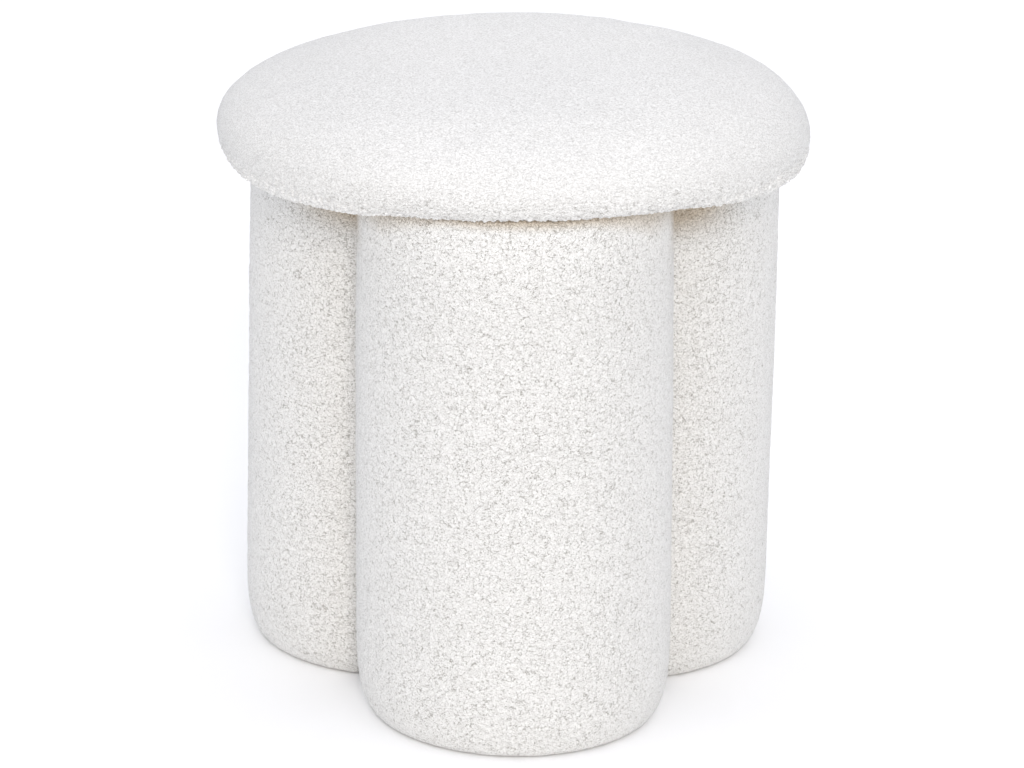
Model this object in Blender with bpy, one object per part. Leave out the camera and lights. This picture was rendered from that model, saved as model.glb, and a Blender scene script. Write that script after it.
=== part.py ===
"""Round boucle pouf: a domed seat on three fat round legs that touch along flat inner faces.

Metres, +Z up. The origin lies on the floor under the middle of the seat, and the front leg points to -Y.
"""

import math

import bmesh
import bpy


# Seat
SEAT_RADIUS = 0.200
SEAT_HEIGHT = 0.4293
WIDEST_HEIGHT = 0.3842
UNDERSIDE_HEIGHT = 0.3775
UNDERSIDE_RADIUS = 0.1885
SEAT_DROP_TO_RIGHT = 0.0166
CROWN_FULLER_RIGHT = 0.197
CROWN_SHOULDER = 4.19
CROWN_ROUNDNESS = 2.165
EDGE_ROUNDNESS = 2.87

# Legs
LEG_RADIUS = 0.1047
LEG_REACH = 0.0892
LEG_AXIS_X = 0.0018
LEG_FOOT_SPREAD = 0.0022
LEG_BULGE = 0.0008
FOOT_ROUND_WIDTH = 0.0121
FOOT_ROUND_HEIGHT = 0.0386
TOP_ROUND = 0.005
CORNER_RADIUS = 0.014
TOUCHING_GAP = 0.0003
HALF_WEDGE = math.radians(60)

# Direction of each leg seen from above, and how far its foot stands out to the right
LEGS = {
    "leg_front": {"direction": -90, "foot_right": 0.0044},
    "leg_back_right": {"direction": 30, "foot_right": -0.0021},
    "leg_back_left": {"direction": 150, "foot_right": -0.0015},
}

# The seat's lower edge hangs a little where no leg carries it
SAGS = (
    {"direction": -152, "depth": 0.010, "half_width": 62},
    {"direction": -18, "depth": 0.012, "half_width": 45},
    {"direction": 90, "depth": 0.009, "half_width": 58},
)
FREE_OVERHANG = 0.018

# Mesh steps
SEAT_SEGMENTS = 72
CROWN_RINGS = 17
EDGE_RINGS = 5
SAG_RINGS = 3
SMALLEST_RING = 0.04
LEG_SEGMENTS = 40
CORNER_SEGMENTS = 4
INNER_SEGMENTS = 3
FOOT_RINGS = 6
SIDE_RINGS = 4
TOP_RINGS = 3

BOUCLE_COLOUR = (0.83, 0.82, 0.79, 1.0)
BOUCLE_ROUGHNESS = 0.95


def clear_objects():
    for obj in list(bpy.data.objects):
        bpy.data.objects.remove(obj, do_unlink=True)


def boucle_material(name):
    material = bpy.data.materials.new(name)
    material.use_nodes = True
    surface = material.node_tree.nodes["Principled BSDF"]
    surface.inputs["Base Color"].default_value = BOUCLE_COLOUR
    surface.inputs["Roughness"].default_value = BOUCLE_ROUGHNESS
    surface.inputs["Metallic"].default_value = 0.0
    return material


def lofted(name, rings, material):
    """One closed body through equal rings of points, listed from the bottom up and anticlockwise."""
    mesh = bpy.data.meshes.new(name)
    bm = bmesh.new()
    rows = [[bm.verts.new(point) for point in ring] for ring in rings]
    for low, high in zip(rows, rows[1:]):
        for i in range(len(low)):
            j = (i + 1) % len(low)
            bm.faces.new((low[i], low[j], high[j], high[i]))
    bm.faces.new(list(reversed(rows[0])))
    bm.faces.new(rows[-1])
    bm.to_mesh(mesh)
    bm.free()
    mesh.shade_smooth()
    mesh.set_sharp_from_angle(angle=math.radians(50))
    mesh.materials.append(material)
    obj = bpy.data.objects.new(name, mesh)
    bpy.context.scene.collection.objects.link(obj)
    return obj


def turned(angle, centre):
    """The angle from the centre, brought to between -180 and 180 degrees."""
    return (angle - centre + 180) % 360 - 180


def eased(share):
    share = min(max(share, 0.0), 1.0)
    return share * share * (3 - 2 * share)


def leg_outline_radius(direction):
    """How far the legs reach from their common axis in one direction."""
    off = min(abs(turned(direction, leg["direction"])) for leg in LEGS.values())
    across = LEG_REACH * math.sin(math.radians(off))
    return LEG_REACH * math.cos(math.radians(off)) + math.sqrt(LEG_RADIUS ** 2 - across ** 2)


def sag(direction):
    """How far the lower edge hangs below the flat underside; nothing where a leg carries it."""
    total = 0.0
    for row in SAGS:
        share = abs(turned(direction, row["direction"])) / row["half_width"]
        if share < 1:
            total += row["depth"] * math.cos(share * math.pi / 2) ** 2
    overhang = UNDERSIDE_RADIUS - leg_outline_radius(direction)
    return total * eased(overhang / FREE_OVERHANG)


def around(radius_and_height):
    """One ring of the seat, from a function that gives radius and height in each direction."""
    ring = []
    for i in range(SEAT_SEGMENTS):
        direction = 360 * i / SEAT_SEGMENTS
        radius, height = radius_and_height(direction)
        angle = math.radians(direction)
        ring.append((radius * math.cos(angle), radius * math.sin(angle), height))
    return ring


def widest_height(x):
    return WIDEST_HEIGHT - SEAT_DROP_TO_RIGHT * x


def underside_ring(step):
    """From the legs' outline, where the underside is flat, out to the rounded edge."""
    share = step / SAG_RINGS

    def point(direction):
        start = min(leg_outline_radius(direction), UNDERSIDE_RADIUS - TOP_ROUND)
        radius = start + (UNDERSIDE_RADIUS - start) * share
        return radius, UNDERSIDE_HEIGHT - sag(direction) * eased(share)

    return around(point)


def edge_ring(step):
    """The rounded lower edge, from the underside out and up to the widest line."""
    turn = math.pi / 2 * (1 - step / EDGE_RINGS)
    out = max(math.cos(turn), 0.0) ** (2 / EDGE_ROUNDNESS)
    down = math.sin(turn) ** (2 / EDGE_ROUNDNESS)
    radius = UNDERSIDE_RADIUS + (SEAT_RADIUS - UNDERSIDE_RADIUS) * out

    def point(direction):
        top = widest_height(SEAT_RADIUS * math.cos(math.radians(direction)))
        bottom = UNDERSIDE_HEIGHT - sag(direction)
        return radius, top - (top - bottom) * down

    return around(point)


def crown_ring(step):
    """The crown, with its rings crowded toward the widest line."""
    share = 1 - (1 - SMALLEST_RING) * (step / CROWN_RINGS) ** 2
    rise = (1 - share ** CROWN_SHOULDER) ** (1 / CROWN_ROUNDNESS)
    radius = SEAT_RADIUS * share

    def point(direction):
        x = radius * math.cos(math.radians(direction))
        fuller = 1 + CROWN_FULLER_RIGHT * x / SEAT_RADIUS
        height = (SEAT_HEIGHT - WIDEST_HEIGHT) * fuller * rise
        return radius, widest_height(x) + height

    return around(point)


def build_seat():
    rings = [underside_ring(step) for step in range(SAG_RINGS + 1)]
    rings += [edge_ring(step) for step in range(1, EDGE_RINGS + 1)]
    rings += [crown_ring(step) for step in range(1, CROWN_RINGS + 1)]
    return lofted("seat", rings, boucle_material("boucle_seat"))


def arc(centre, radius, start, end, segments):
    points = []
    for i in range(segments + 1):
        angle = start + (end - start) * i / segments
        points.append((centre[0] + radius * math.cos(angle), centre[1] + radius * math.sin(angle)))
    return points


def leg_section(middle, radius, inset):
    """Outline of one leg seen from above, with the leg's direction along +X.

    A round front runs into two flat inner faces over soft corners. The inset draws every side in.
    """
    flats = []
    for side in (-1, 1):
        along = (math.cos(HALF_WEDGE), side * math.sin(HALF_WEDGE))
        inward = (math.sin(HALF_WEDGE), -side * math.cos(HALF_WEDGE))
        face = CORNER_RADIUS + TOUCHING_GAP / 2
        beside = middle[0] * inward[0] + middle[1] * inward[1] - face
        reach = middle[0] * along[0] + middle[1] * along[1]
        reach += math.sqrt((radius - CORNER_RADIUS) ** 2 - beside ** 2)
        centre = (inward[0] * face + along[0] * reach, inward[1] * face + along[1] * reach)
        front = math.atan2(centre[1] - middle[1], centre[0] - middle[0])
        flats.append({"centre": centre, "front": front})
    low, high = flats
    corner = CORNER_RADIUS - inset
    inner = ((CORNER_RADIUS + TOUCHING_GAP / 2) / math.sin(HALF_WEDGE), 0.0)
    face_turn = math.pi / 2 + HALF_WEDGE
    points = arc(middle, radius - inset, low["front"], high["front"], LEG_SEGMENTS)
    points += arc(high["centre"], corner, high["front"], face_turn, CORNER_SEGMENTS)[1:]
    points += arc(inner, corner, face_turn, 2 * math.pi - face_turn, INNER_SEGMENTS)
    points += arc(low["centre"], corner, -face_turn, low["front"], CORNER_SEGMENTS)[:-1]
    return points


def leg_levels():
    """Height and inset of each ring, from the flat foot up to the flat top."""
    top = UNDERSIDE_HEIGHT - TOUCHING_GAP
    levels = []
    for i in range(FOOT_RINGS + 1):
        turn = math.pi / 2 * i / FOOT_RINGS
        height = FOOT_ROUND_HEIGHT * (1 - math.cos(turn))
        levels.append((height, FOOT_ROUND_WIDTH * (1 - math.sin(turn))))
    side = top - TOP_ROUND - FOOT_ROUND_HEIGHT
    for i in range(1, SIDE_RINGS):
        levels.append((FOOT_ROUND_HEIGHT + side * i / SIDE_RINGS, 0.0))
    for i in range(TOP_RINGS + 1):
        turn = math.pi / 2 * i / TOP_RINGS
        height = top - TOP_ROUND * (1 - math.sin(turn))
        levels.append((height, TOP_ROUND * (1 - math.cos(turn))))
    return levels


def build_leg(name, direction, foot_right):
    """The leg's round front leans, spreads and swells a little; its inner faces stay upright."""
    turn = math.radians(direction)
    rings = []
    for height, inset in leg_levels():
        up = height / UNDERSIDE_HEIGHT
        radius = LEG_RADIUS + LEG_FOOT_SPREAD * (1 - up) + LEG_BULGE * math.sin(math.pi * up)
        lean = foot_right * (1 - up)
        middle = (LEG_REACH + lean * math.cos(turn), -lean * math.sin(turn))
        section = leg_section(middle, radius, inset)
        rings.append([(x, y, height) for x, y in section])
    leg = lofted(name, rings, boucle_material("boucle_" + name))
    leg.location = (LEG_AXIS_X, 0.0, 0.0)
    leg.rotation_euler = (0.0, 0.0, turn)
    return leg


def build_pouf():
    clear_objects()
    build_seat()
    for name, leg in LEGS.items():
        build_leg(name, **leg)


build_pouf()
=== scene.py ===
"""Round boucle pouf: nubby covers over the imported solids, on a plain pale floor in soft studio light."""

import math

import bpy
import numpy as np
from mathutils import Matrix, Vector
from mathutils.bvhtree import BVHTree


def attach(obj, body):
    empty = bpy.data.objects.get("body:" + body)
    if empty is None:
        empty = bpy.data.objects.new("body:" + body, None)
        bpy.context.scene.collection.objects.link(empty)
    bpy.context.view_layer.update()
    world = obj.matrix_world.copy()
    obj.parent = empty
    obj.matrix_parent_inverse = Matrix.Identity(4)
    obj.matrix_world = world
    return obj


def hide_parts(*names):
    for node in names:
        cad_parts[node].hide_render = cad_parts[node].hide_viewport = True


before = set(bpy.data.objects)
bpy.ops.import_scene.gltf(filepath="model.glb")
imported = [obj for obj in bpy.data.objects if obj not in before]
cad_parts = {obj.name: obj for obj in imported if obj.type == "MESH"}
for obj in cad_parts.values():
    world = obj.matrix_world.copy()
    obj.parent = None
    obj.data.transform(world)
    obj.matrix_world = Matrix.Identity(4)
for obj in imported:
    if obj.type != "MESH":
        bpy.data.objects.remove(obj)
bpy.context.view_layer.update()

# Camera, from the photograph's outline; the image is 1024 pixels wide
CAMERA_AIM = Vector((0.0019, 0.0, 0.1985))
CAMERA_DISTANCE = 3.2
CAMERA_PITCH = math.radians(19.49)
CAMERA_ROLL = math.radians(1.0)
FOCAL_PIXELS = 4636
IMAGE_WIDTH = 1024
SENSOR_WIDTH = 36.0

# Light
HORIZON_COLOUR = (0.353, 0.391, 0.433, 1.0)
ZENITH_COLOUR = (1.162, 1.167, 1.223, 1.0)
KEY_COLOUR = (1.0, 0.941, 0.876)
KEY_STRENGTH = 1.28
KEY_WIDTH = math.radians(20)
KEY_ELEVATION = math.radians(24)
KEY_AZIMUTH = math.radians(4.5)
FLOOR_RADIUS = 300.0
FLOOR_COLOUR = (0.998, 0.998, 0.998, 1.0)

# Cloth
NUB_PITCH = 0.0029
CLUMP_PITCH = 0.0052
CLUMP_HEIGHT = 0.0008
CLUMP_PROUD = 0.0006
LUMP_HEIGHT = 0.0006
TUFT_PITCH = 0.0030
TUFT_DEPTH = 0.0028
LUMP_LENGTH = 0.07
HAIR_LENGTH = 0.0017
CRACK_PITCH = 0.0054
FOLD_LENGTH = 0.032
FIBRE_LENGTH = 0.0009
GRAIN_LENGTH = 0.0013
BUMP_DEPTH = 0.0005
# Colour between the nubs: partly the ground yarn, partly painted shade in the crevices
CREVICE_GROUND_AND_SHADE = (0.36, 0.34, 0.305, 1.0)

# How wide the lines between nubs are, in parts of their pitch, and how dark each kind is. In the crevices
# the dark is partly the ground yarn and partly painted shade; along the folds it is painted shade
NUB_EDGE_LINE = 0.052
CRACK_LINE = 0.032
HAIR_LINE = 0.035
FOLD_LINE = 0.02
NUB_EDGE_DARKNESS = 0.8
HAIR_DARKNESS = 0.5
SPECK_DARKNESS = 0.3
FOLD_PAINTED_SHADE = 0.16

# Which values of a noise, from and to, open a patch of each kind
BROKEN_PATCHES = (0.46, 0.56)
CRACKED_PATCHES = (0.47, 0.57)
FOLDED_PATCHES = (0.46, 0.6)
SPECKED_PATCHES = (0.56, 0.76)
GRAINED_PATCHES = (0.3, 0.75)

# How far the nubs are bent and then curled, in pitches, and how much finer the curls are
NUB_BEND = 0.9
NUB_CURL = 0.5
CURLS_IN_A_NUB = 3.5

# Heights of the bump, in parts of its depth; a nub rounds off within its shoulder, in pitches
NUB_RELIEF = 0.25
NUB_SHOULDER = 0.4
FIBRE_RELIEF = -1.0
CREVICE_RELIEF = -0.3
FOLD_RELIEF = -0.3

# The finish of each kind of cover; at a slant the crevices fade to the slant share
SEAT_CLOTH = {
    "yarn_colour": (0.980, 0.973, 0.955, 1.0),
    "crevices": 0.85,
    "creases": 1.0,
    "grain": 0.36,
    "slant_share": 1.0,
    "level_pull": 1.9,
}
# The legs' yarn is set a little darker than the seat's, though both are the same cloth: painted shade
LEG_CLOTH = {
    "yarn_colour": (0.915, 0.907, 0.887, 1.0),
    "crevices": 1.35,
    "creases": 0.0,
    "grain": 0.18,
    "slant_share": 0.5,
    "level_pull": 1.25,
}
CLOTH_ROUGHNESS = 0.92
CLOTH_SHINE = 0.2
CLOTH_SHEEN = 0.08
SHEEN_ROUGHNESS = 0.6

# Painted shade where the legs meet the seat and each other: warmer, darker yarn and deeper crevices
JOINT_SHADE_BEIGE = (0.725, 0.635, 0.52, 1.0)
JOINT_SHADE_GROUND = (0.36, 0.285, 0.20, 1.0)
JOINT_SHADE_DEPTH = 3.2
JOINT_SHADE_UNDER_SEAT = 0.0105
UNDERSIDE_RADIUS = 0.1885
JOINT_SHADE_OVERHANG = 0.018
JOINT_SHADE_OVERHANG_SHARE = 1.1
JOINT_SHADE_RIM = 0.006
JOINT_SHADE_RIM_SHARE = 0.8
JOINT_SHADE_CORNER_DEPTH = 0.06
JOINT_SHADE_BETWEEN_LEGS = 0.07
JOINT_SHADE_CORNER_SHARE = 3.8
JOINT_SHADE_ALONG_SHARE = 0.07
# How much painted light pales a leg's top away from its neighbours
TOP_PAINTED_LIGHT = 0.09

# Painted shade across the seat's upper part: its colour darker towards both ends, where less light falls
END_PLACES = (-0.134, -0.065, 0.09, 0.14)
END_SHADE = (0.935, 1.0, 1.0, 0.955)
END_HEIGHTS = (0.375, 0.392)

# How loose the seat's cloth lies at each height: open along its lower edge, tight over the shoulder. It
# scales the raised clumps and also the painted crevice shade
LOOSENESS_HEIGHTS = (0.386, 0.398, 0.410, 0.427)
LOOSENESS = (1.0, 0.15, 0.1, 0.25)
LOOSE_PLACES = (-0.15, -0.09, 0.11, 0.16)
LOOSE_SHARES = (0.25, 1.0, 1.0, 0.5)

# Covers
SEAT_STEP = 0.0068
LEG_STEP = 0.0062
HELD_WITHIN = 0.003
HIDDEN_WITHIN = 0.0008
HIDDEN_KEEP = 0.12
FLOOR_CONTACT = 0.002
PADDING_INSET = 0.0005
PADDING_CAP = 0.0008
PADDING_PRESSURE = 4.0
PADDING_FRAMES = 20
CROWN_FROM = 0.412

# The seat's lower rim, from its underside outwards and up
RIM_RADIUS = (0.187, 0.191)
RIM_HEIGHTS = (0.380, 0.386)
RIM_FULLER = 0.0014

# How far that rim hangs, by direction in degrees seen from above
HANG_DIRECTIONS = (-180, -165, -150, -137, -120, -105, -95, -85, -75, -60, -50, -40, -28)
HANGS = (0.0, 0.0016, 0.0024, 0.003, 0.0036, 0.0034, 0.0028, 0.0018, 0.0014, 0.0018, 0.0024, 0.002, 0.0)
HANG_HEIGHTS = (0.384, 0.408)
HANG_CLEAR = 0.006

SEAT_STIFFNESS = 100.0
LEG_STIFFNESS = 5.0
LEG_COVER = {"material": "boucle_legs", "step": LEG_STEP, "stiffness": LEG_STIFFNESS}
COVERS = {
    "seat": {"material": "boucle_seat", "step": SEAT_STEP, "stiffness": SEAT_STIFFNESS},
    "leg_front": LEG_COVER,
    "leg_back_left": LEG_COVER,
    "leg_back_right": LEG_COVER,
}


def choose(piece):
    """Makes one object the only selected one, and the active one."""
    bpy.ops.object.select_all(action="DESELECT")
    piece.select_set(True)
    bpy.context.view_layer.objects.active = piece


def add_node(tree, kind, values=None, links=None, **settings):
    """A node with its settings, socket values and incoming links."""
    node = tree.nodes.new(kind)
    for name, value in settings.items():
        setattr(node, name, value)
    for socket, value in (values or {}).items():
        node.inputs[socket].default_value = value
    for socket, source in (links or {}).items():
        tree.links.new(source, node.inputs[socket])
    return node


def math_node(tree, operation, *terms, clamp=False):
    """A Math node whose terms are sockets or plain numbers; its result socket is returned."""
    node = tree.nodes.new("ShaderNodeMath")
    node.operation = operation
    node.use_clamp = clamp
    for place, term in enumerate(terms):
        if isinstance(term, bpy.types.NodeSocket):
            tree.links.new(term, node.inputs[place])
        else:
            node.inputs[place].default_value = term
    return node.outputs[0]


def eased_range(tree, value, low, high):
    """A soft step of a value from 0 at low to 1 at high."""
    node = add_node(tree, "ShaderNodeMapRange", interpolation_type="SMOOTHSTEP")
    tree.links.new(value, node.inputs["Value"])
    node.inputs["From Min"].default_value = low
    node.inputs["From Max"].default_value = high
    return node.outputs["Result"]


def warped(tree, place, scale, reach):
    """The place pushed about by noise, so that no pattern on it runs straight."""
    noise = add_node(tree, "ShaderNodeTexNoise", {"Scale": scale, "Detail": 1.0}, {"Vector": place})
    centred = add_node(tree, "ShaderNodeVectorMath", operation="SUBTRACT")
    tree.links.new(noise.outputs["Color"], centred.inputs[0])
    centred.inputs[1].default_value = (0.5, 0.5, 0.5)
    scaled = add_node(tree, "ShaderNodeVectorMath", operation="SCALE")
    tree.links.new(centred.outputs[0], scaled.inputs[0])
    scaled.inputs["Scale"].default_value = reach
    moved = add_node(tree, "ShaderNodeVectorMath", operation="ADD")
    tree.links.new(place, moved.inputs[0])
    tree.links.new(scaled.outputs[0], moved.inputs[1])
    return moved.outputs[0]


def stretched(tree, place, factors):
    moved = add_node(tree, "ShaderNodeVectorMath", operation="MULTIPLY")
    tree.links.new(place, moved.inputs[0])
    moved.inputs[1].default_value = factors
    return moved.outputs[0]


def noise_value(tree, place, length, detail=1.0, roughness=0.5):
    settings = {"Scale": 1 / length, "Detail": detail, "Roughness": roughness}
    return add_node(tree, "ShaderNodeTexNoise", settings, {"Vector": place}).outputs[0]


def patches(tree, place, length, low, high):
    """Soft patches of noise, 0 in some places and 1 in others."""
    return eased_range(tree, noise_value(tree, place, length), low, high)


def wandering_lines(tree, place, length, width):
    """Thin lines where a noise crosses its middle value, 1 on the line."""
    noise = noise_value(tree, place, length)
    off = math_node(tree, "ABSOLUTE", math_node(tree, "SUBTRACT", noise, 0.5))
    return math_node(tree, "SUBTRACT", 1.0, eased_range(tree, off, 0.0, width))


def cell_edge_distance(tree, place, pitch):
    """How far a point is from where its nub meets the next, in pitches."""
    return add_node(
        tree, "ShaderNodeTexVoronoi", {"Scale": 1 / pitch}, {"Vector": place}, feature="DISTANCE_TO_EDGE"
    ).outputs["Distance"]


def cell_domes(tree, place, pitch, smoothness):
    """Rounded nubs, 1 at their tops and near 0 where they meet."""
    cells = add_node(
        tree,
        "ShaderNodeTexVoronoi",
        {"Scale": 1 / pitch, "Smoothness": smoothness},
        {"Vector": place},
        feature="SMOOTH_F1",
    )
    fall = math_node(tree, "POWER", cells.outputs["Distance"], 1.5)
    return math_node(tree, "SUBTRACT", 1.0, fall, clamp=True)


def mixed(tree, amount, first, second):
    """Two colours, each a socket or plain, blended by an amount from 0 to 1."""
    mix = add_node(tree, "ShaderNodeMix", data_type="RGBA")
    tree.links.new(amount, mix.inputs["Factor"])
    for name, colour in (("A", first), ("B", second)):
        socket = next(item for item in mix.inputs if item.name == name and item.type == "RGBA")
        if isinstance(colour, bpy.types.NodeSocket):
            tree.links.new(colour, socket)
        else:
            socket.default_value = colour
    return next(item for item in mix.outputs if item.type == "RGBA")


def new_socket(tree, name, in_out, kind):
    tree.interface.new_socket(name, in_out=in_out, socket_type=kind)


def named_value(tree, name):
    node = add_node(tree, "GeometryNodeInputNamedAttribute", {"Name": name}, data_type="FLOAT")
    return node.outputs["Attribute"]


def clump_modifier_tree():
    """Geometry nodes that raise clumps of nubs and soft lumps, and keep each point's unraised place."""
    tree = bpy.data.node_groups.new("raise_boucle", "GeometryNodeTree")
    new_socket(tree, "Geometry", "INPUT", "NodeSocketGeometry")
    new_socket(tree, "Geometry", "OUTPUT", "NodeSocketGeometry")
    source = tree.nodes.new("NodeGroupInput")
    result = tree.nodes.new("NodeGroupOutput")
    place = tree.nodes.new("GeometryNodeInputPosition").outputs[0]
    normal = tree.nodes.new("GeometryNodeInputNormal").outputs[0]
    keep = add_node(tree, "GeometryNodeStoreNamedAttribute", domain="POINT", data_type="FLOAT_VECTOR")
    keep.inputs["Name"].default_value = "cloth_place"
    tree.links.new(source.outputs[0], keep.inputs["Geometry"])
    tree.links.new(place, keep.inputs["Value"])
    lump = math_node(tree, "SUBTRACT", noise_value(tree, place, LUMP_LENGTH), 0.5)
    bent = warped(tree, place, 1 / CLUMP_PITCH, 0.8 * CLUMP_PITCH)
    clump = math_node(tree, "SUBTRACT", cell_domes(tree, bent, CLUMP_PITCH, 0.35), 1.0)
    clump = math_node(tree, "MULTIPLY", clump, named_value(tree, "looseness"))
    rise = math_node(tree, "MULTIPLY_ADD", clump, CLUMP_HEIGHT, CLUMP_PROUD)
    rise = math_node(tree, "MULTIPLY_ADD", lump, 2 * LUMP_HEIGHT, rise)
    rise = math_node(tree, "MULTIPLY", rise, math_node(tree, "SUBTRACT", 1.0, named_value(tree, "held")))
    tufts = math_node(tree, "SUBTRACT", cell_domes(tree, bent, TUFT_PITCH, 0.2), 1.0)
    tufts = math_node(tree, "MULTIPLY", tufts, named_value(tree, "ragged"))
    rise = math_node(tree, "MULTIPLY_ADD", tufts, TUFT_DEPTH, rise)
    offset = add_node(tree, "ShaderNodeVectorMath", operation="SCALE")
    tree.links.new(normal, offset.inputs[0])
    tree.links.new(rise, offset.inputs["Scale"])
    move = tree.nodes.new("GeometryNodeSetPosition")
    tree.links.new(keep.outputs["Geometry"], move.inputs["Geometry"])
    tree.links.new(offset.outputs[0], move.inputs["Offset"])
    tree.links.new(move.outputs["Geometry"], result.inputs[0])
    return tree


def boucle_group():
    """Colour and fine height of boucle: curled nubs, the crevices and cracks between them, and fibres."""
    tree = bpy.data.node_groups.new("boucle_cloth", "ShaderNodeTree")
    new_socket(tree, "Place", "INPUT", "NodeSocketVector")
    new_socket(tree, "Yarn Colour", "INPUT", "NodeSocketColor")
    new_socket(tree, "Ground Colour", "INPUT", "NodeSocketColor")
    new_socket(tree, "Crevice Strength", "INPUT", "NodeSocketFloat")
    new_socket(tree, "Crease Strength", "INPUT", "NodeSocketFloat")
    new_socket(tree, "Grain Strength", "INPUT", "NodeSocketFloat")
    new_socket(tree, "Colour", "OUTPUT", "NodeSocketColor")
    new_socket(tree, "Height", "OUTPUT", "NodeSocketFloat")
    source = tree.nodes.new("NodeGroupInput")
    result = tree.nodes.new("NodeGroupOutput")
    place = source.outputs["Place"]
    bent = warped(tree, place, 1 / NUB_PITCH, NUB_BEND * NUB_PITCH)
    curled = warped(tree, bent, CURLS_IN_A_NUB / NUB_PITCH, NUB_CURL * NUB_PITCH)

    edge = cell_edge_distance(tree, curled, NUB_PITCH)
    broken = patches(tree, place, 0.8 * NUB_PITCH, *BROKEN_PATCHES)
    rims = math_node(tree, "SUBTRACT", 1.0, eased_range(tree, edge, 0.0, NUB_EDGE_LINE))
    rims = math_node(tree, "MULTIPLY", rims, math_node(tree, "MULTIPLY", broken, NUB_EDGE_DARKNESS))
    hairs = wandering_lines(tree, curled, HAIR_LENGTH, HAIR_LINE)
    hairs = math_node(tree, "MULTIPLY", hairs, math_node(tree, "SUBTRACT", 1.0, broken))
    far_edge = cell_edge_distance(tree, curled, CRACK_PITCH)
    cracks = math_node(tree, "SUBTRACT", 1.0, eased_range(tree, far_edge, 0.0, CRACK_LINE))
    cracked = patches(tree, bent, 0.6 * CRACK_PITCH, *CRACKED_PATCHES)
    cracks = math_node(tree, "MULTIPLY", cracks, cracked)
    fibres = noise_value(tree, bent, FIBRE_LENGTH, roughness=0.65)
    specks = eased_range(tree, fibres, *SPECKED_PATCHES)

    crevice = math_node(tree, "MAXIMUM", rims, cracks)
    crevice = math_node(tree, "MAXIMUM", crevice, math_node(tree, "MULTIPLY", hairs, HAIR_DARKNESS))
    crevice = math_node(tree, "MULTIPLY_ADD", specks, SPECK_DARKNESS, crevice)

    folds = wandering_lines(tree, stretched(tree, bent, (1.0, 1.0, 6.0)), FOLD_LENGTH, FOLD_LINE)
    folds = math_node(tree, "MULTIPLY", folds, patches(tree, place, FOLD_LENGTH, *FOLDED_PATCHES))
    folds = math_node(tree, "MULTIPLY", folds, source.outputs["Crease Strength"])

    height = math_node(tree, "MULTIPLY", eased_range(tree, edge, 0.0, NUB_SHOULDER), NUB_RELIEF)
    height = math_node(tree, "MULTIPLY_ADD", fibres, FIBRE_RELIEF, height)
    height = math_node(tree, "MULTIPLY_ADD", crevice, CREVICE_RELIEF, height)
    height = math_node(tree, "MULTIPLY_ADD", folds, FOLD_RELIEF, height)
    tree.links.new(height, result.inputs["Height"])
    # Crevices mix the yarn towards the ground colour: partly the ground yarn, partly painted shade
    amount = math_node(tree, "MULTIPLY", crevice, source.outputs["Crevice Strength"], clamp=True)
    # Painted shade along the folds
    amount = math_node(tree, "MAXIMUM", amount, math_node(tree, "MULTIPLY", folds, FOLD_PAINTED_SHADE))
    grain = patches(tree, place, GRAIN_LENGTH, *GRAINED_PATCHES)
    amount = math_node(tree, "MULTIPLY_ADD", grain, source.outputs["Grain Strength"], amount)
    colour = mixed(tree, amount, source.outputs["Yarn Colour"], source.outputs["Ground Colour"])
    tree.links.new(colour, result.inputs["Colour"])
    return tree


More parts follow.
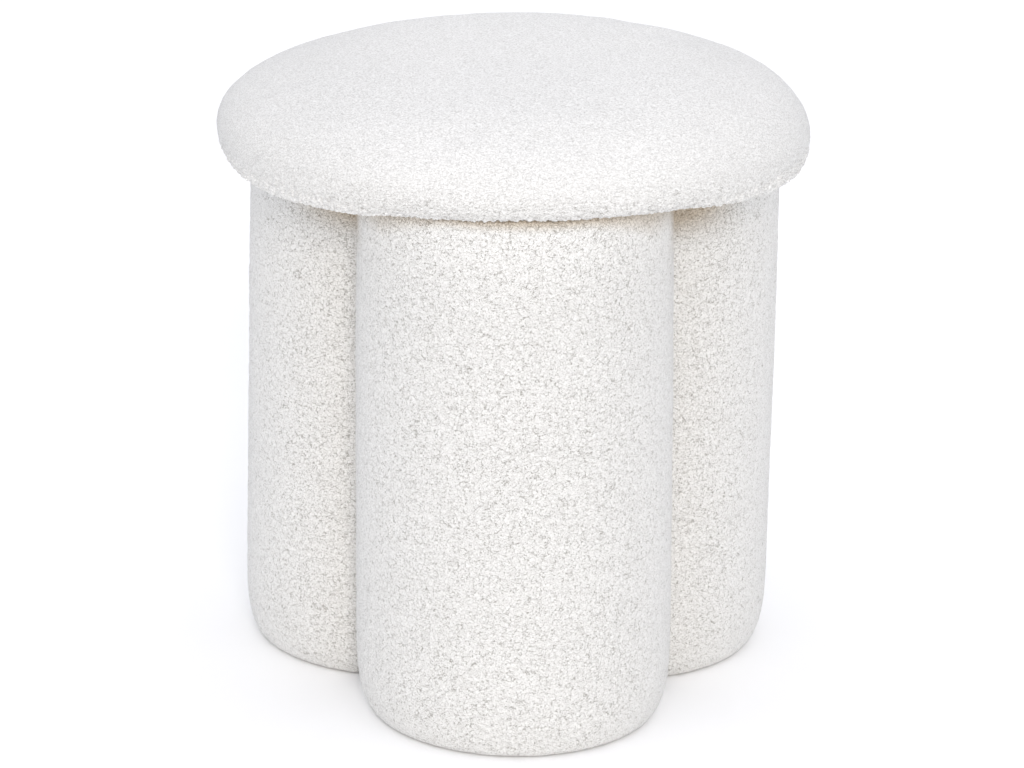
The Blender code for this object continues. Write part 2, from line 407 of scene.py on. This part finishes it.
def boucle_material(name, group, yarn_colour, crevices, creases, grain, slant_share, level_pull):
    """At a slant the nubs hide the crevices between them, so these fade with the angle of view.

    The cloth is pulled level, so its nubs and crevices lie wider than they are high.
    Where pieces meet, painted shade makes the yarn warmer and darker and its crevices deeper.
    """
    material = bpy.data.materials.new(name)
    material.use_nodes = True
    tree = material.node_tree
    surface = tree.nodes["Principled BSDF"]
    place = add_node(tree, "ShaderNodeAttribute", attribute_name="cloth_place")
    looseness = add_node(tree, "ShaderNodeAttribute", attribute_name="looseness").outputs["Fac"]
    painted_joint_shade = add_node(tree, "ShaderNodeAttribute", attribute_name="painted_joint_shade").outputs["Fac"]
    slant = add_node(tree, "ShaderNodeLayerWeight", {"Blend": 0.5})
    seen = eased_range(tree, slant.outputs["Facing"], 0.75, 0.2)
    seen = math_node(tree, "MULTIPLY_ADD", seen, 1 - slant_share, slant_share)
    # Painted shade where pieces meet deepens the crevices
    strength = math_node(tree, "MULTIPLY_ADD", painted_joint_shade, JOINT_SHADE_DEPTH, crevices)
    # Looseness also sets how strong the painted crevice shade is
    strength = math_node(tree, "MULTIPLY", math_node(tree, "MULTIPLY", seen, looseness), strength)
    cloth = tree.nodes.new("ShaderNodeGroup")
    cloth.node_tree = group
    # Painted shade where pieces meet: a warmer, darker ground colour
    tree.links.new(mixed(tree, painted_joint_shade, CREVICE_GROUND_AND_SHADE, JOINT_SHADE_GROUND), cloth.inputs["Ground Colour"])
    # Painted shading: the yarn darker towards the seat's ends and paler at the legs' tops
    shade = add_node(tree, "ShaderNodeAttribute", attribute_name="shade").outputs["Fac"]
    yarn = add_node(tree, "ShaderNodeVectorMath", operation="SCALE", links={"Scale": shade})
    yarn.inputs[0].default_value = yarn_colour[:3]
    # Painted shade where pieces meet: the yarn warmer and darker
    yarn = mixed(tree, painted_joint_shade, yarn.outputs[0], JOINT_SHADE_BEIGE)
    tree.links.new(yarn, cloth.inputs["Yarn Colour"])
    pulled = stretched(tree, place.outputs["Vector"], (1.0, 1.0, level_pull))
    tree.links.new(pulled, cloth.inputs["Place"])
    tree.links.new(strength, cloth.inputs["Crevice Strength"])
    crease = math_node(tree, "MULTIPLY_ADD", looseness, 2.0, -1.0, clamp=True)
    tree.links.new(math_node(tree, "MULTIPLY", crease, creases), cloth.inputs["Crease Strength"])
    cloth.inputs["Grain Strength"].default_value = grain
    bump = add_node(tree, "ShaderNodeBump", {"Strength": 1.0, "Distance": BUMP_DEPTH})
    tree.links.new(cloth.outputs["Height"], bump.inputs["Height"])
    tree.links.new(cloth.outputs["Colour"], surface.inputs["Base Color"])
    tree.links.new(bump.outputs["Normal"], surface.inputs["Normal"])
    surface.inputs["Roughness"].default_value = CLOTH_ROUGHNESS
    surface.inputs["Specular IOR Level"].default_value = CLOTH_SHINE
    surface.inputs["Sheen Weight"].default_value = CLOTH_SHEEN
    surface.inputs["Sheen Roughness"].default_value = SHEEN_ROUGHNESS
    return material


def remeshed_copy(node, name, step):
    """The CAD solid's surface as an even mesh of small squares."""
    piece = bpy.data.objects.new(name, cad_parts[node].data.copy())
    piece.data.materials.clear()
    bpy.context.scene.collection.objects.link(piece)
    choose(piece)
    bpy.ops.object.mode_set(mode="EDIT")
    bpy.ops.mesh.select_all(action="SELECT")
    bpy.ops.mesh.remove_doubles(threshold=0.00001)
    bpy.ops.object.mode_set(mode="OBJECT")
    piece.data.remesh_voxel_size = step
    bpy.ops.object.voxel_remesh()
    return piece


def node_surface(node):
    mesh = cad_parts[node].data
    corners = [vertex.co for vertex in mesh.vertices]
    return BVHTree.FromPolygons(corners, [tuple(face.vertices) for face in mesh.polygons])


def points_against(piece, surfaces, reach):
    """The points of all faces that lie on the floor, or face a neighbour within a reach."""
    found = set()
    for face in piece.data.polygons:
        on_floor = face.center.z < FLOOR_CONTACT and face.normal.z < -0.9
        facing = (surface.ray_cast(face.center, face.normal, reach)[0] for surface in surfaces)
        if on_floor or any(hit is not None for hit in facing):
            found.update(face.vertices)
    return found


def point_places(mesh):
    places = np.empty(len(mesh.vertices) * 3)
    mesh.vertices.foreach_get("co", places)
    return places.reshape(-1, 3)


def mark_points(mesh, name, values):
    mesh.attributes.new(name, "FLOAT", "POINT").data.foreach_set("value", values)


def hold_points(piece, held):
    """A vertex group of the points that stay where they are, clear of the neighbours."""
    piece.vertex_groups.new(name="held").add(sorted(held), 1.0, "REPLACE")


def puff_up(piece, held, stiffness):
    """Starts the cover a little small and lets the filling blow it up, by a capped reach."""
    mesh = piece.data
    full = point_places(mesh)
    normals = np.empty(full.size)
    mesh.vertices.foreach_get("normal", normals)
    small = full - normals.reshape(-1, 3) * PADDING_INSET
    for index in held:
        small[index] = full[index]
    mesh.vertices.foreach_set("co", small.ravel())
    swollen = simulated(piece, stiffness)
    reach = swollen - small
    length = np.maximum(np.linalg.norm(reach, axis=1, keepdims=True), 1e-9)
    mesh.vertices.foreach_set("co", (small + reach * np.minimum(1, PADDING_CAP / length)).ravel())
    mesh.update()


def simulated(piece, stiffness):
    """Where the cloth simulation takes each point of the cover."""
    choose(piece)
    padding = piece.modifiers.new("padding", "CLOTH")
    padding.settings.use_pressure = True
    padding.settings.uniform_pressure_force = PADDING_PRESSURE
    padding.settings.effector_weights.gravity = 0.0
    padding.settings.vertex_group_mass = "held"
    padding.settings.tension_stiffness = stiffness
    padding.settings.compression_stiffness = stiffness
    padding.settings.shear_stiffness = stiffness
    padding.point_cache.frame_start = 1
    padding.point_cache.frame_end = PADDING_FRAMES
    for frame_number in range(1, PADDING_FRAMES + 1):
        bpy.context.scene.frame_set(frame_number)
    apply_modifier(piece, padding)
    bpy.context.scene.frame_set(1)
    return point_places(piece.data)


def select_faces(piece, wanted):
    """Opens the mesh with only the wanted faces selected."""
    choose(piece)
    bpy.ops.object.mode_set(mode="EDIT")
    bpy.ops.mesh.select_mode(type="FACE")
    bpy.ops.mesh.select_all(action="DESELECT")
    bpy.ops.object.mode_set(mode="OBJECT")
    for face in piece.data.polygons:
        face.select = wanted(face)
    bpy.ops.object.mode_set(mode="EDIT")


def thin_hidden_faces(piece, hidden):
    """Keeps the small squares for what shows, with larger faces where pieces touch."""
    select_faces(piece, lambda face: all(index in hidden for index in face.vertices))
    bpy.ops.mesh.decimate(ratio=HIDDEN_KEEP)
    bpy.ops.object.mode_set(mode="OBJECT")


def on_rim(place):
    return math.hypot(place[0], place[1]) > RIM_RADIUS[0] and place[2] < RIM_HEIGHTS[0]


def refine_seat(piece):
    """Smaller faces below the smooth crown, and smaller ones again along the lower rim."""
    for wanted in (lambda face: face.center.z < CROWN_FROM, lambda face: on_rim(face.center)):
        select_faces(piece, wanted)
        bpy.ops.mesh.subdivide(number_cuts=1, smoothness=0.0)
        bpy.ops.object.mode_set(mode="OBJECT")


def apply_modifier(piece, modifier):
    choose(piece)
    bpy.ops.object.modifier_apply(modifier=modifier.name)


def subdivided(piece, levels):
    modifier = piece.modifiers.new("finer", "SUBSURF")
    modifier.levels = levels
    modifier.render_levels = levels
    apply_modifier(piece, modifier)


def raise_nubs(piece, tree):
    modifier = piece.modifiers.new("nubs", "NODES")
    modifier.node_group = tree
    apply_modifier(piece, modifier)


def distances(surfaces, places, reach):
    """How far each point is from the nearest of some surfaces, up to a reach."""
    near = np.full(len(places), reach)
    for surface in surfaces:
        for index, place in enumerate(places):
            found = surface.find_nearest(place, reach)[3]
            if found is not None:
                near[index] = min(near[index], found)
    return near


def eased_fall(distance, reach):
    """1 at no distance, easing to 0 at the reach."""
    share = np.clip(1 - distance / reach, 0, 1)
    return share * share * (3 - 2 * share)


def closeness(surfaces, places, reach):
    return eased_fall(distances(surfaces, places, reach), reach)


def mark_painted_joint_shade(piece, node, surfaces):
    """Marks painted shade where pieces meet: the seat's rim at a leg, a leg under the seat or beside a leg.

    Away from its neighbours a leg's top gets painted light, a paler colour.
    """
    mesh = piece.data
    places = point_places(mesh)
    legs = [surface for name, surface in surfaces.items() if name not in ("seat", node)]
    if node == "seat":
        # Painted shade along the seat's rim where it meets a leg
        painted_joint_shade = JOINT_SHADE_RIM_SHARE * closeness(legs, places, JOINT_SHADE_RIM)
    else:
        off_seat = distances([surfaces["seat"]], places, JOINT_SHADE_CORNER_DEPTH)
        overhang = np.clip(UNDERSIDE_RADIUS - np.hypot(places[:, 0], places[:, 1]), 0, JOINT_SHADE_OVERHANG)
        under_seat = eased_fall(off_seat, JOINT_SHADE_UNDER_SEAT + JOINT_SHADE_OVERHANG_SHARE * overhang)
        below_seat = eased_fall(off_seat, JOINT_SHADE_CORNER_DEPTH)
        beside_leg = closeness(legs, places, JOINT_SHADE_BETWEEN_LEGS)
        # Painted shade on a leg under the seat, strongest in the corners beside another leg
        painted_joint_shade = under_seat + (JOINT_SHADE_CORNER_SHARE * below_seat + JOINT_SHADE_ALONG_SHARE) * beside_leg
        # Painted light: a leg's top paler under the seat, away from the other legs
        top_painted_light = 1 + TOP_PAINTED_LIGHT * below_seat * (1 - beside_leg)
        mesh.attributes["shade"].data.foreach_set("value", top_painted_light)
    mark_points(mesh, "painted_joint_shade", np.clip(painted_joint_shade, 0, 1))


def mark_looseness(piece, node):
    """Marks how loose the cloth lies, where the seat's rim is ragged, and the painted shade towards the
    seat's ends.
    """
    mesh = piece.data
    places = point_places(mesh)
    loose = np.ones(len(places))
    ragged = np.zeros(len(places))
    shade = np.ones(len(places))
    if node == "seat":
        loose = np.interp(places[:, 2], LOOSENESS_HEIGHTS, LOOSENESS)
        loose *= np.interp(places[:, 0], LOOSE_PLACES, LOOSE_SHARES)
        ragged = np.interp(np.hypot(places[:, 0], places[:, 1]), RIM_RADIUS, (0, 1))
        ragged *= np.interp(places[:, 2], RIM_HEIGHTS, (1, 0))
        # Painted shade: the seat's colour darker towards both ends, on its upper part
        painted_end_darkening = 1 - np.interp(places[:, 0], END_PLACES, END_SHADE)
        shade -= painted_end_darkening * np.interp(places[:, 2], END_HEIGHTS, (0, 1))
    mark_points(mesh, "looseness", loose)
    mark_points(mesh, "ragged", ragged)
    mark_points(mesh, "shade", shade)


def shape_rim(piece, legs):
    """Fills out the lower rim and lets it hang a little, as far as it stays clear of the legs."""
    for vertex in piece.data.vertices:
        x, y, z = vertex.co
        share = float(np.interp(z, HANG_HEIGHTS, (1, 0)))
        if share == 0 or math.hypot(x, y) < RIM_RADIUS[0]:
            continue
        hang = float(np.interp(math.degrees(math.atan2(y, x)), HANG_DIRECTIONS, HANGS))
        near = closeness(legs, [vertex.co], HANG_CLEAR)[0]
        moved = share * share * (3 - 2 * share) * (1 - near)
        vertex.co.z -= hang * moved
        vertex.co.xy *= 1 + RIM_FULLER * moved / math.hypot(x, y)
    piece.data.update()


def build_covers():
    group = boucle_group()
    materials = {
        "boucle_seat": boucle_material("boucle_seat", group, **SEAT_CLOTH),
        "boucle_legs": boucle_material("boucle_legs", group, **LEG_CLOTH),
    }
    clumps = clump_modifier_tree()
    surfaces = {name: node_surface(name) for name in COVERS}
    for node, cover in COVERS.items():
        piece = remeshed_copy(node, node + "_cover", cover["step"])
        neighbours = [surfaces[name] for name in COVERS if name != node]
        held = points_against(piece, neighbours, HELD_WITHIN)
        hidden = points_against(piece, neighbours, HIDDEN_WITHIN)
        hold_points(piece, held)
        puff_up(piece, held, cover["stiffness"])
        thin_hidden_faces(piece, hidden)
        if node == "seat":
            subdivided(piece, 1)
            refine_seat(piece)
            shape_rim(piece, neighbours)
        else:
            subdivided(piece, 2)
        mark_looseness(piece, node)
        raise_nubs(piece, clumps)
        piece.vertex_groups.clear()
        mark_painted_joint_shade(piece, node, surfaces)
        piece.data.materials.append(materials[cover["material"]])
        piece.data.shade_smooth()
        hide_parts(node)
        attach(piece, "root")


def add_camera():
    data = bpy.data.cameras.new("camera")
    data.sensor_width = SENSOR_WIDTH
    data.lens = FOCAL_PIXELS * SENSOR_WIDTH / IMAGE_WIDTH
    data.clip_end = 4 * FLOOR_RADIUS
    camera = bpy.data.objects.new("camera", data)
    bpy.context.scene.collection.objects.link(camera)
    turn = Matrix.Rotation(math.pi / 2 - CAMERA_PITCH, 4, "X") @ Matrix.Rotation(CAMERA_ROLL, 4, "Z")
    back = Vector((0.0, -math.cos(CAMERA_PITCH), math.sin(CAMERA_PITCH)))
    camera.matrix_world = Matrix.Translation(CAMERA_AIM + back * CAMERA_DISTANCE) @ turn
    bpy.context.scene.camera = camera


def add_light():
    world = bpy.data.worlds.new("studio")
    bpy.context.scene.world = world
    world.use_nodes = True
    tree = world.node_tree
    direction = tree.nodes.new("ShaderNodeTexCoord").outputs["Generated"]
    upward = add_node(tree, "ShaderNodeSeparateXYZ", links={"Vector": direction}).outputs["Z"]
    sky = mixed(tree, eased_range(tree, upward, 0.0, 1.0), HORIZON_COLOUR, ZENITH_COLOUR)
    tree.links.new(sky, tree.nodes["Background"].inputs["Color"])
    data = bpy.data.lights.new("key", "SUN")
    data.energy = KEY_STRENGTH
    data.angle = KEY_WIDTH
    data.color = KEY_COLOUR
    key = bpy.data.objects.new("key", data)
    bpy.context.scene.collection.objects.link(key)
    level = math.cos(KEY_ELEVATION)
    toward = Vector((level * math.sin(KEY_AZIMUTH), -level * math.cos(KEY_AZIMUTH), math.sin(KEY_ELEVATION)))
    key.location = 3 * toward
    key.rotation_euler = (-toward).to_track_quat("-Z", "Y").to_euler()


def add_floor():
    bpy.ops.object.select_all(action="DESELECT")
    bpy.ops.mesh.primitive_circle_add(vertices=64, radius=FLOOR_RADIUS, fill_type="NGON", location=(0, 0, 0))
    floor = bpy.context.active_object
    floor.name = "floor"
    material = bpy.data.materials.new("floor_white")
    material.use_nodes = True
    surface = material.node_tree.nodes["Principled BSDF"]
    surface.inputs["Base Color"].default_value = FLOOR_COLOUR
    surface.inputs["Roughness"].default_value = 1.0
    surface.inputs["Specular IOR Level"].default_value = 0.0
    floor.data.materials.append(material)


bpy.context.scene.view_settings.view_transform = "Standard"
add_camera()
add_light()
add_floor()
build_covers()
